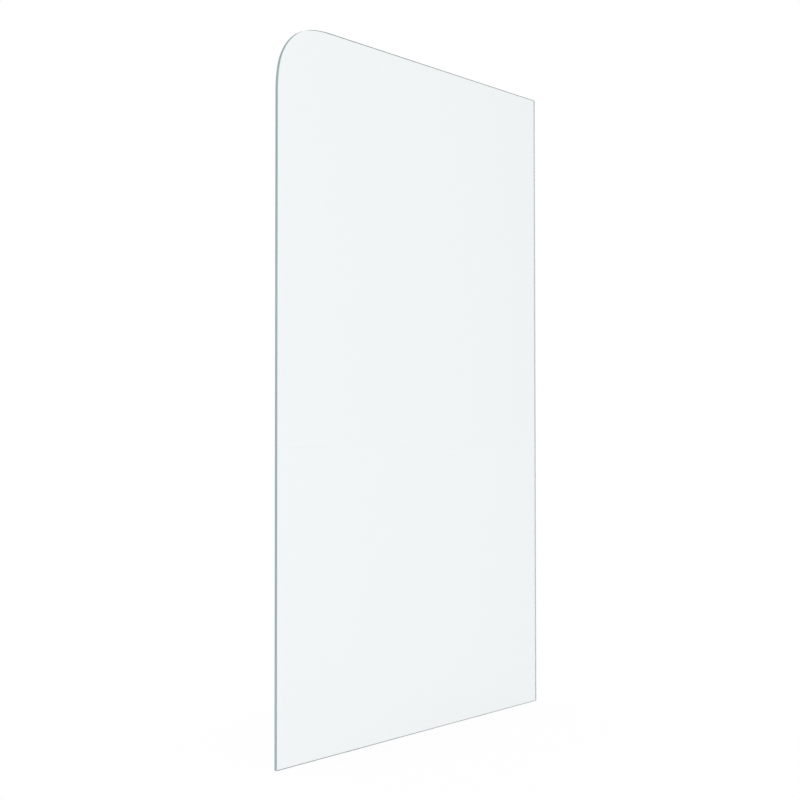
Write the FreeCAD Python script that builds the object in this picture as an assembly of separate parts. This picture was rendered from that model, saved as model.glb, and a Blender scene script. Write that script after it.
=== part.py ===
import FreeCAD, Part
import os

from FreeCAD import Vector

# Curved shower panel: one flat pane of toughened clear glass with a round top corner on its free side,
# standing on two clear setting blocks. Sizes are in millimetres. X runs along the pane from the free
# side to the wall side, Y through the glass, and Z up from the floor that the blocks stand on.

# Glass pane
pane_width = 1200.0
pane_height = 2000.0
glass_thickness = 10.0
# The round corner is tightest in its middle and eases into both sides at a larger radius
round_corner_radius = 157.0
round_easing_radius = 350.0
round_easing_turn = 11.0  # degrees, at each end of the round corner
# Radius left on the face at each square corner, inside the arris
dubbed_corner_radius = 1.0
# Width of the 45 degree flat that is ground along both rims of every edge
edge_arris = 0.5

# Setting blocks
block_length = 50.0
block_height = 2.0
# From each end of the pane to the middle of the block under it
block_from_end = 300.0
# From the arris in to the block's side, so that the block stays under the flat of the bottom edge
block_setback = 0.5
# Radius of the block's upright corners, limited to a share of its width under thin glass
block_corner_radius = 1.25
largest_corner_share = 0.4
# Width of the 45 degree flat along the rims of the block's top and underside
block_easing = 0.25

quarter_turn = 90.0


def turned(vector, degrees):
    return FreeCAD.Rotation(Vector(0, 0, 1), degrees).multVec(vector)


def corner_arcs(corner, heading, bends):
    # Arcs that follow each other at a tangent and turn left round a corner. Each bend is a radius and a
    # turn in degrees. The bends are walked from the origin, then set back from the corner by as far as
    # they reach along the heading, so that they end on the side that leaves the corner.
    point = Vector()
    direction = heading
    stops = []
    for radius, turn in bends:
        inward = turned(direction, quarter_turn) * radius
        stops.append([point + inward - turned(inward, share * turn) for share in (0, 0.5, 1)])
        point = stops[-1][-1]
        direction = turned(direction, turn)
    start = corner - heading * point.dot(heading)
    return [Part.Arc(*[start + stop for stop in three]) for three in stops]


def rounded_rectangle(low, high, corner_bends):
    # Closed wire in the XY plane. The bends are those of the corners, anticlockwise from low, and each
    # corner's arcs meet both its sides at a tangent.
    corners = [low, Vector(high.x, low.y), high, Vector(low.x, high.y)]
    turns = []
    for i, bends in enumerate(corner_bends):
        heading = (corners[i] - corners[i - 1]).normalize()
        turns.append(corner_arcs(corners[i], heading, bends))
    edges = []
    for i, arcs in enumerate(turns):
        edges.append(Part.LineSegment(turns[i - 1][-1].EndPoint, arcs[0].StartPoint).toShape())
        edges.extend(arc.toShape() for arc in arcs)
    return Part.Wire(edges)


def eased_plate(outline, thickness, easing):
    # The outline as a plate centred on the XY plane, with a 45 degree flat along the rims of both faces.
    plate = Part.Face(outline).extrude(Vector(0, 0, thickness))
    plate.translate(Vector(0, 0, -thickness / 2))
    rims = [edge for edge in plate.Edges if edge.BoundBox.ZLength < thickness / 2]
    return plate.makeChamfer(easing, rims)


def glass_pane():
    # Drawn flat with its bottom edge on the X axis, then stood on that edge at the height of the blocks.
    low = Vector(-pane_width / 2, 0)
    high = Vector(pane_width / 2, pane_height)
    square = [(dubbed_corner_radius + edge_arris, quarter_turn)]
    easing = (round_easing_radius, round_easing_turn)
    middle = (round_corner_radius, quarter_turn - 2 * round_easing_turn)
    outline = rounded_rectangle(low, high, [square, square, square, [easing, middle, easing]])
    pane = eased_plate(outline, glass_thickness, edge_arris)
    pane.rotate(Vector(0, 0, 0), Vector(1, 0, 0), quarter_turn)
    pane.translate(Vector(0, 0, block_height))
    return pane


def setting_block(side):
    # As wide as the flat of the pane's bottom edge, less a setback on each side. It stands on the floor
    # and the pane stands on it. side is -1 for the free side and 1 for the wall side.
    width = glass_thickness - 2 * (edge_arris + block_setback)
    radius = min(block_corner_radius, largest_corner_share * width)
    half = Vector(block_length / 2, width / 2)
    outline = rounded_rectangle(-half, half, [[(radius, quarter_turn)]] * 4)
    block = eased_plate(outline, block_height, block_easing)
    block.translate(Vector(side * (pane_width / 2 - block_from_end), 0, block_height / 2))
    return block


os.makedirs("parts", exist_ok=True)
nodes = {
    "glass_pane": glass_pane(),
    "setting_block_free": setting_block(-1),
    "setting_block_wall": setting_block(1),
}
for name, shape in nodes.items():
    shape.exportStep(f"parts/{name}.step")
    state = "valid" if shape.isValid() else "not valid"
    print(f"{name}: {state}, {len(shape.Solids)} solid, {shape.Volume:.1f} mm3")
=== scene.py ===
import math

import bpy
import numpy as np
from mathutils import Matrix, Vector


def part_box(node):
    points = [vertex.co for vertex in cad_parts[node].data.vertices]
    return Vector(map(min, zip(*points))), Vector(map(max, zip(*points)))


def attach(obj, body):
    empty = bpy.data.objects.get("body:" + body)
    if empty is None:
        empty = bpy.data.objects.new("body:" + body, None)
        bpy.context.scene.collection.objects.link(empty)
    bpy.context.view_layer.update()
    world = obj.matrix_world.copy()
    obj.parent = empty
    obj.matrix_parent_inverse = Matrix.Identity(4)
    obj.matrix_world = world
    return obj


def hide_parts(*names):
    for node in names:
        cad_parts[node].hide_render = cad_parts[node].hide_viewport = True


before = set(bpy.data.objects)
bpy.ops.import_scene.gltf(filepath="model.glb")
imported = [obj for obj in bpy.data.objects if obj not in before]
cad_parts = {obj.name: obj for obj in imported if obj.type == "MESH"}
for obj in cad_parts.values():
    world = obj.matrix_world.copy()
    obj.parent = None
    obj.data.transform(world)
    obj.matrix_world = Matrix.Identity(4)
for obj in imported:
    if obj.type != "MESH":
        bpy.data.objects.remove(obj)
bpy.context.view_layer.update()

# Frameless shower panel of clear toughened glass on clear setting blocks, in metres
scene = bpy.context.scene
scene.view_settings.view_transform = "Standard"
quarterTurn = 90.0  # degrees


class Value:
    # Wraps an output socket, so that an expression on values adds its Math nodes to the same tree
    def __init__(self, tree, socket):
        self.tree = tree
        self.socket = socket

    def math(self, operation, *terms):
        return self.tree.add("Math", dict(enumerate(terms)), operation=operation)

    def __add__(self, other):
        return self.math("ADD", self, other)

    def __sub__(self, other):
        return self.math("SUBTRACT", self, other)

    def __rsub__(self, other):
        return self.math("SUBTRACT", other, self)

    def __mul__(self, other):
        return self.math("MULTIPLY", self, other)

    def __truediv__(self, other):
        return self.math("DIVIDE", self, other)

    def __rtruediv__(self, other):
        return self.math("DIVIDE", other, self)

    def __abs__(self):
        return self.math("ABSOLUTE", self)

    __radd__ = __add__
    __rmul__ = __mul__

    def sine(self):
        return self.math("SINE", self)

    def larger(self, other):
        return self.math("MAXIMUM", self, other)

    def smaller(self, other):
        return self.math("MINIMUM", self, other)

    def clamp(self):
        return self.larger(0.0).smaller(1.0)


class Tree:
    # The node tree of a material or of the world, emptied
    def __init__(self, owner):
        owner.use_nodes = True
        self.nodes = owner.node_tree.nodes
        self.links = owner.node_tree.links
        self.nodes.clear()

    def add(self, kind, sockets=None, output=0, **settings):
        # Settings first, then each socket, by name or number, gets a value or a link
        node = self.nodes.new("ShaderNode" + kind)
        for name, setting in settings.items():
            setattr(node, name, setting)
        for name, given in (sockets or {}).items():
            if isinstance(given, Value):
                self.links.new(given.socket, node.inputs[name])
            else:
                node.inputs[name].default_value = given
        return Value(self, node.outputs[output]) if node.outputs else None

    def blend(self, share, first, second):
        # A colour between two colours, as the share goes from 0 to 1. A Mix node's sockets for numbers and
        # for colours bear the same names, so its colours go by number: 6 and 7 in, 2 out.
        return self.add("Mix", {0: share, 6: first, 7: second}, 2, data_type="RGBA")

    def noise(self, place, waves, detail=2.0):
        # Soft noise about 0.5, with so many waves per metre along each axis
        spread = self.add("Mapping", {"Vector": place, "Scale": waves})
        return self.add("TexNoise", {"Vector": spread, "Scale": 1.0, "Detail": detail})


def rgba(colour):
    # A colour as a socket takes it, with full alpha
    return (*colour, 1.0)


# Camera, at the photograph's viewing angle
shot = {
    "eye": (-3.0840, -2.5384, 0.9013),
    "turn": 49.6815,        # degrees to the right of +Y
    "tilt": 1.2625,         # degrees up
    "roll": 0.034,          # degrees clockwise
    "lens": 60.066,         # millimetres, as is the sensor's width
    "sensor": 36.0,
}


def placeCamera(look):
    # Unturned, a camera looks straight down: a quarter turn lifts its view to the horizon
    data = bpy.data.cameras.new("camera")
    data.lens = look["lens"]
    data.sensor_width = look["sensor"]
    camera = bpy.data.objects.new("camera", data)
    scene.collection.objects.link(camera)
    camera.location = look["eye"]
    angles = (quarterTurn + look["tilt"], look["roll"], -look["turn"])
    camera.rotation_euler = [math.radians(angle) for angle in angles]
    scene.camera = camera


placeCamera(shot)
print("camera placed")

# Studio: white all round, with a dimmer room for the glass to mirror
studio = {
    "white": (1.0, 1.0, 1.0),
    "mirrored": 0.35,       # light level of the room that the glass mirrors
    "lampShare": 0.10,      # share of the floor's light that the lamp gives
    "lampHeight": 62.0,     # degrees above the floor
    "lampTurn": 40.0,       # degrees to the left of the front
    "lampWidth": 60.0,      # degrees that the soft lamp spans
    "shadowShare": 0.05,    # how much of its shadow the floor keeps
    "floorReach": 60.0,
    "floorSteps": 96,
}


def lightWorld(look):
    # White where the camera sees it, also through glass; as light it leaves the lamp its share. What a ray
    # reaches by way of a mirror image is dimmed to the mirrored level.
    world = bpy.data.worlds.new("studio")
    scene.world = world
    tree = Tree(world)
    direct = tree.add("LightPath", output="Is Camera Ray")
    through = tree.add("LightPath", output="Is Transmission Ray")
    mirrored = tree.add("LightPath", output="Glossy Depth").clamp()
    level = (1 - look["lampShare"]) + look["lampShare"] * (direct + through)
    strength = level * (1 - (1 - look["mirrored"]) * mirrored)
    light = tree.add("Background", {"Color": rgba(look["white"]), "Strength": strength})
    tree.add("OutputWorld", {"Surface": light})


def hangLamp(look):
    # A lamp of strength pi / sine of its height lights a white floor to full white
    height = math.radians(look["lampHeight"])
    data = bpy.data.lights.new("lamp", "SUN")
    data.angle = math.radians(look["lampWidth"])
    data.energy = look["lampShare"] * math.pi / math.sin(height)
    lamp = bpy.data.objects.new("lamp", data)
    scene.collection.objects.link(lamp)
    lamp.rotation_euler = (math.radians(quarterTurn) - height, 0.0, -math.radians(look["lampTurn"]))


def floorPaint(look):
    # Glows white, with a small share of plain paint that takes the shadow; dimmer where glass mirrors it
    material = bpy.data.materials.new("floorPaint")
    material.cycles.emission_sampling = "NONE"  # the glow is no lamp to aim at
    tree = Tree(material)
    white = rgba(look["white"])
    mirrored = tree.add("LightPath", output="Glossy Depth").clamp()
    shaded = tree.add("BsdfDiffuse", {"Color": white})
    plain = tree.add("Emission", {"Color": white, "Strength": 1.0})
    pale = tree.add("MixShader", {0: look["shadowShare"], 1: plain, 2: shaded})
    dim = tree.add("Emission", {"Color": white, "Strength": look["mirrored"]})
    floor = tree.add("MixShader", {0: mirrored, 1: pale, 2: dim})
    tree.add("OutputMaterial", {"Surface": floor})
    return material


def layFloor(look):
    # A flat disc: its rim is the reach times the cosine and sine of even angles
    angles = np.arange(look["floorSteps"]) * 2 * np.pi / look["floorSteps"]
    rim = look["floorReach"] * np.stack([np.cos(angles), np.sin(angles), 0 * angles], 1)
    mesh = bpy.data.meshes.new("floor")
    mesh.from_pydata(rim.tolist(), [], [list(range(len(rim)))])
    mesh.materials.append(floorPaint(look))
    floor = bpy.data.objects.new("floor", mesh)
    scene.collection.objects.link(floor)


lightWorld(studio)
hangLamp(studio)
layFloor(studio)
print("studio lit")

# Glass pane
pane = {
    # Shape. Each arc is a radius, a turn in degrees and its steps: the round corner's, then a square one's
    "roundBends": ((0.350, 11.0, 16), (0.157, 68.0, 80), (0.350, 11.0, 16)),
    "squareBends": ((0.0015, quarterTurn, 8),),
    "arris": 0.0005,                    # 45 degree flat along both rims of the edge
    "softening": 0.00015,               # reach of the polish on each line of the arris
    "softSteps": 4,
    # Clear glass
    "refraction": 1.52,
    "tint": (0.957, 0.991, 1.0),
    "streakTint": (0.953, 0.989, 1.0),
    "streaks": (0.6, 1.0, 9.0),         # waves per metre of the streaks left in the glass
    "rollerPitch": 0.26,                # between the waves that the furnace rollers leave
    "rollerDepth": 0.00002,
    "rollerSway": 2.0,                  # how far those waves stray, in radians
    "swayWaves": (1.0, 1.0, 1.0),       # per metre
    # Colours of the edge
    "edgeBlue": (0.65, 0.79, 0.855),    # near the floor
    "edgeGreen": (0.74, 0.94, 0.90),    # higher up
    "edgeDarkReflectionAndGrain": (0.44, 0.57, 0.61),     # painted reflection: the dark of the bands where the edge mirrors the glass's inside, and the dark of the ground edge's grain
    "arrisColour": (0.92, 0.95, 0.96),
    "arrisDull": (0.80, 0.86, 0.87),
    # Light that the edge passes on
    "polishedGlow": (0.20, 0.24, 0.25),
    "glowShare": 0.4,
    "groundGlow": (0.92, 0.98, 0.98),   # on the wall side, which is ground but not polished
    "groundGlowShare": 0.48,
    "groundReach": 0.003,               # of that edge, in from its outermost point
    # Patterns of the edge, in waves per metre along and across it
    "edgeCast": (2.5, 0.0, 0.0),        # slow change of colour
    "reflectionBands": (1.2, 800.0, 0.0),        # painted reflections: long bands where a polished edge mirrors the glass's inside
    "reflectionContrast": 3.0,
    "polish": (25.0, 4000.0, 0.0),      # polishing marks
    "polishDetail": 3.0,
    "polishShade": 0.25,
    "polishDepth": 0.000004,
    "grain": (3000.0, 3000.0, 3000.0),  # fine grain of what is only ground, along X, Y and Z
    "grainDepth": 0.000012,
    "edgeRoughness": 0.10,
    "groundRoughness": 0.40,
    # Map for baked textures
    "rowFill": 0.9,                     # what the rim fills of its rows
    "mapInset": 0.01,                   # margin at the ends of the rows and round the faces
}


def clearGlass(look):
    # Clear all through, with faint streaks, and with shallow waves up the pane: the sine of the height in
    # turns of the pitch, plus the sway
    material = bpy.data.materials.new("clearGlass")
    tree = Tree(material)
    place = tree.add("TexCoord", output="Object")
    tint = tree.blend(tree.noise(place, look["streaks"]), rgba(look["tint"]), rgba(look["streakTint"]))
    height = tree.add("SeparateXYZ", {"Vector": place}, "Z")
    sway = look["rollerSway"] * tree.noise(place, look["swayWaves"])
    waves = (height * (2 * math.pi / look["rollerPitch"]) + sway).sine()
    relief = tree.add("Bump", {"Height": waves, "Distance": look["rollerDepth"]})
    glass = tree.add("BsdfPrincipled", {
        "Base Color": tint,
        "Roughness": 0.0,
        "IOR": look["refraction"],
        "Transmission Weight": 1.0,
        "Normal": relief,
    })
    tree.add("OutputMaterial", {"Surface": glass})
    return material


def polishedEdge(look, low, high):
    # Runs on the rim's own map: metres along the edge, and metres across from its middle
    material = bpy.data.materials.new("polishedEdge")
    tree = Tree(material)
    rim = tree.add("UVMap", uv_map="rim")
    place = tree.add("TexCoord", output="Object")
    height = tree.add("SeparateXYZ", {"Vector": place}, "Z")

    # Masks: 1 on the arrises, 1 on the wall side's ground edge, and 1 on either
    across = abs(tree.add("SeparateXYZ", {"Vector": rim}, "Y"))
    halfFlat = (high[1] - low[1]) / 2 - look["arris"]
    onArris = ((across - (halfFlat - look["softening"])) / (2 * look["softening"])).clamp()
    wallward = tree.add("SeparateXYZ", {"Vector": place}, "X") - (high[0] - look["groundReach"])
    ground = (wallward / look["arris"]).clamp()
    dull = onArris.larger(ground)

    # Painted reflections of the glass's inside as long bands, and polishing marks, on the polished flats;
    # fine grain on the rest
    marks = tree.noise(rim, look["polish"], look["polishDetail"])
    grain = tree.noise(place, look["grain"])
    paintedReflections = ((tree.noise(rim, look["reflectionBands"]) - 0.5) * look["reflectionContrast"] + 0.5).clamp()
    reflectionGrainAndMarks = (paintedReflections * (1 - ground) + grain * ground + look["polishShade"] * (marks - 0.5)).clamp()
    cast = (height / high[2] + tree.noise(rim, look["edgeCast"]) - 0.5).clamp()
    pale = tree.blend(cast, rgba(look["edgeBlue"]), rgba(look["edgeGreen"]))
    # The flats: pale, darkened by the painted reflection bands, the grain and the polishing marks
    flat = tree.blend(reflectionGrainAndMarks, pale, rgba(look["edgeDarkReflectionAndGrain"]))
    arris = tree.blend(grain, rgba(look["arrisColour"]), rgba(look["arrisDull"]))
    relief = tree.add("Bump", {
        "Height": marks * look["polishDepth"] * (1 - dull) + grain * look["grainDepth"] * dull,
        "Distance": 1.0,  # the heights are in metres
    })

    # The edge as lit from its own side, and the light that comes through it from the other. A noise is about
    # 0.5, so 0.5 plus a noise is about 1.
    rougher = look["groundRoughness"] - look["edgeRoughness"]
    edge = tree.add("BsdfPrincipled", {
        "Base Color": tree.blend(onArris, flat, arris),
        "Roughness": look["edgeRoughness"] * (0.5 + marks) + rougher * dull * (0.5 + grain),
        "IOR": look["refraction"],
        "Normal": relief,
    })
    polishedGlow = tree.add("BsdfTranslucent", {"Color": rgba(look["polishedGlow"]), "Normal": relief})
    groundGlow = tree.add("BsdfTranslucent", {"Color": rgba(look["groundGlow"]), "Normal": relief})
    glow = tree.add("MixShader", {0: ground, 1: polishedGlow, 2: groundGlow})
    flatShare = look["glowShare"] + (look["groundGlowShare"] - look["glowShare"]) * ground
    both = tree.add("MixShader", {0: flatShare * (1 - onArris), 1: edge, 2: glow})
    tree.add("OutputMaterial", {"Surface": both})
    return material


def compass(degrees):
    # Unit directions: the cosine and sine of each angle
    angles = np.radians(degrees)
    return np.stack([np.cos(angles), np.sin(angles)], -1)


def cornerArcs(corner, start, bends):
    # Tangent arcs round one corner: point = middle + radius * outward. Each middle is the one before it plus
    # the change of radius along the line to the point that both arcs share. All are then moved to touch the
    # two sides of the corner. Gives the middle, the outward direction and the radius at each point.
    radii, turns, steps = np.array(bends).T
    ends = start + np.cumsum(turns)
    starts = ends - turns
    middles = np.cumsum(-np.diff(radii, prepend=radii[0])[:, None] * compass(starts), 0)
    for arc, side in ((0, compass(start)), (-1, compass(ends[-1]))):
        middles = middles + ((corner - middles[arc]) @ side - radii[arc]) * side
    spans = [np.linspace(*span, int(count) + 1)[1:] for *span, count in zip(starts, ends, steps)]
    angles = np.concatenate([[start]] + spans)
    arcOf = np.concatenate([[0]] + [np.full(len(span), arc) for arc, span in enumerate(spans)])
    return middles[arcOf], compass(angles), radii[arcOf, None]


def roundedOutline(low, high, cornerBends):
    # The corners' arcs, anticlockwise from the low corner, each from a quarter turn after the one before it.
    # The straight sides are the gaps between them.
    corners = np.array([low, (high[0], low[1]), high, (low[0], high[1])])
    turns = [cornerArcs(corners[i], (2 + i) * quarterTurn, bends) for i, bends in enumerate(cornerBends)]
    return [np.concatenate(parts) for parts in zip(*turns)]


def softBends(points, reach, steps):
    # Each inner point becomes a curve (1-t)^2 a + 2t(1-t) p + t^2 b, with a and b so far before and after it
    before = points[:-2] - points[1:-1]
    after = points[2:] - points[1:-1]
    before = points[1:-1] + reach * before / np.linalg.norm(before, axis=1, keepdims=True)
    after = points[1:-1] + reach * after / np.linalg.norm(after, axis=1, keepdims=True)
    t = np.linspace(0.0, 1.0, steps + 1)[None, :, None]
    bends = (1 - t) ** 2 * before[:, None] + 2 * t * (1 - t) * points[1:-1, None] + t ** 2 * after[:, None]
    return bends.reshape(-1, 2)


def edgeSection(look, front, back):
    # Inset and depth through the glass, from the front face over arris, flat and arris to the back face. The
    # first and last points only give the faces' direction.
    arris = look["arris"]
    corners = np.array([
        (2 * arris, front), (arris, front), (0.0, front + arris),
        (0.0, back - arris), (arris, back), (2 * arris, back),
    ])
    return softBends(corners, look["softening"], look["softSteps"])


def stepLengths(points):
    # Distance run along a row of points, from 0 at the first
    steps = np.linalg.norm(np.diff(points, axis=0), axis=1)
    return np.concatenate([[0.0], np.cumsum(steps)])


def addMap(mesh, name, places):
    # A UV map with one place for each corner of each face
    mesh.uv_layers.new(name=name).data.foreach_set("uv", places.ravel())


def bakeRows(look, along, across, columns, rings, counts):
    # The lower half of a unit square holds a row for each side, from its corner on: the distance run along
    # the side over the longest such run, and the distance across the rim over its whole width
    starts = along[np.cumsum(counts) - counts]
    side = np.repeat(np.arange(len(counts)), counts)[columns[:, :, :1]]
    run = (along[columns] - starts[side]) / np.diff(starts, append=along[-1]).max()
    run = look["mapInset"] + (1 - 2 * look["mapInset"]) * run
    width = look["rowFill"] * across[rings] / np.ptp(across)
    return np.stack([run, (side + 0.5 + width) / (2 * len(counts))], 3).reshape(-1, 2)


def bakeFaces(look, spread):
    # The upper half holds the front and then the back, each point at its share of the way across and up
    spread = look["mapInset"] + (1 - 2 * look["mapInset"]) * spread
    half = np.repeat([0, 1], len(spread) // 2)
    return np.stack([(half + spread[:, 0]) / 2, (1 + spread[:, 1]) / 2], 1)


def makePane(look):
    # The section carried round the outline: point = middle + (radius - inset) * outward, at the section's
    # depth. One flat face closes the front and one the back.
    low, high = np.array(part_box("glass_pane"))
    upright = [0, 2]  # X and Z, the axes of the pane's own plane
    cornerBends = [look["squareBends"]] * 3 + [look["roundBends"]]  # the last is the free side's top corner
    middles, outward, reach = roundedOutline(low[upright], high[upright], cornerBends)
    section = edgeSection(look, low[1], high[1])
    rings, count = len(section), len(middles)

    flat = middles[None] + (reach[None] - section[:, None, :1]) * outward[None]
    depth = np.broadcast_to(section[:, None, 1:], (rings, count, 1))
    points = np.concatenate([flat[:, :, :1], depth, flat[:, :, 1:]], 2).reshape(-1, 3)

    ring, turn = np.meshgrid(np.arange(rings - 1), np.arange(count), indexing="ij")
    following = (turn + 1) % count
    quads = np.stack([
        ring * count + turn, (ring + 1) * count + turn,
        (ring + 1) * count + following, ring * count + following,
    ], 2).reshape(-1, 4)
    frontFace = np.arange(count)
    backFace = (rings - 1) * count + frontFace[::-1]
    mesh = bpy.data.meshes.new("glassPane")
    mesh.from_pydata(points.tolist(), [], quads.tolist() + [frontFace.tolist(), backFace.tolist()])

    # A map for baked textures, by the name that the export looks for, and the rim's own in metres, on which
    # the faces take their X and Z
    outline = middles + reach * outward
    along = stepLengths(np.concatenate([outline, outline[:1]]))
    across = stepLengths(section)
    across = across - across[-1] / 2
    columns = np.stack([turn, turn, turn + 1, turn + 1], 2)
    ringOf = np.stack([ring, ring + 1, ring + 1, ring], 2)
    counts = np.array([1 + sum(steps for *_, steps in bends) for bends in cornerBends])
    rimMap = np.stack([along[columns], across[ringOf]], 3).reshape(-1, 2)
    faceMap = points[np.concatenate([frontFace, backFace])][:, upright]
    spread = (faceMap - low[upright]) / (high - low)[upright]
    rows = bakeRows(look, along, across, columns, ringOf, counts)
    addMap(mesh, "OFBake", np.concatenate([rows, bakeFaces(look, spread)]))
    addMap(mesh, "rim", np.concatenate([rimMap, faceMap]))

    # Rim smooth and in the edge's finish, faces flat and clear
    onRim = np.arange(len(mesh.polygons)) < len(quads)
    mesh.polygons.foreach_set("use_smooth", onRim)
    mesh.polygons.foreach_set("material_index", onRim.astype(int))
    mesh.materials.append(clearGlass(look))
    mesh.materials.append(polishedEdge(look, low.tolist(), high.tolist()))
    mesh.update()
    piece = bpy.data.objects.new("glassPane", mesh)
    scene.collection.objects.link(piece)
    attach(piece, "root")
    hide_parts("glass_pane")
    print("pane made:", len(mesh.polygons), "faces")


makePane(pane)

# Setting blocks under the pane
blocks = {
    "nodes": ("setting_block_free", "setting_block_wall"),
    "colour": (0.97, 0.98, 0.98),
    "cloudy": (0.92, 0.94, 0.94),
    "clouds": (60.0, 60.0, 60.0),       # waves per metre, as is the grain
    "grain": (2500.0, 2500.0, 2500.0),
    "grainDepth": 0.00001,
    "roughness": 0.15,
    "grainRoughness": 0.2,              # what the grain adds to it
    "cover": 0.45,                      # what the vinyl hides of things behind it
    "refraction": 1.53,
}


def clearVinyl(look):
    # Slightly cloudy, with the fine grain of an extruded strip
    material = bpy.data.materials.new("clearVinyl")
    tree = Tree(material)
    place = tree.add("TexCoord", output="Object")
    clouds = tree.noise(place, look["clouds"])
    grain = tree.noise(place, look["grain"])
    vinyl = tree.add("BsdfPrincipled", {
        "Base Color": tree.blend(clouds, rgba(look["colour"]), rgba(look["cloudy"])),
        "Roughness": look["roughness"] + look["grainRoughness"] * grain,
        "IOR": look["refraction"],
        "Alpha": look["cover"],
        "Normal": tree.add("Bump", {"Height": grain, "Distance": look["grainDepth"]}),
    })
    tree.add("OutputMaterial", {"Surface": vinyl})
    return material


def finishBlocks(look):
    # The CAD's own shapes stay and take the vinyl
    vinyl = clearVinyl(look)
    for name in look["nodes"]:
        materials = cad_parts[name].data.materials
        materials.clear()
        materials.append(vinyl)
    print("blocks finished:", len(look["nodes"]))


finishBlocks(blocks)
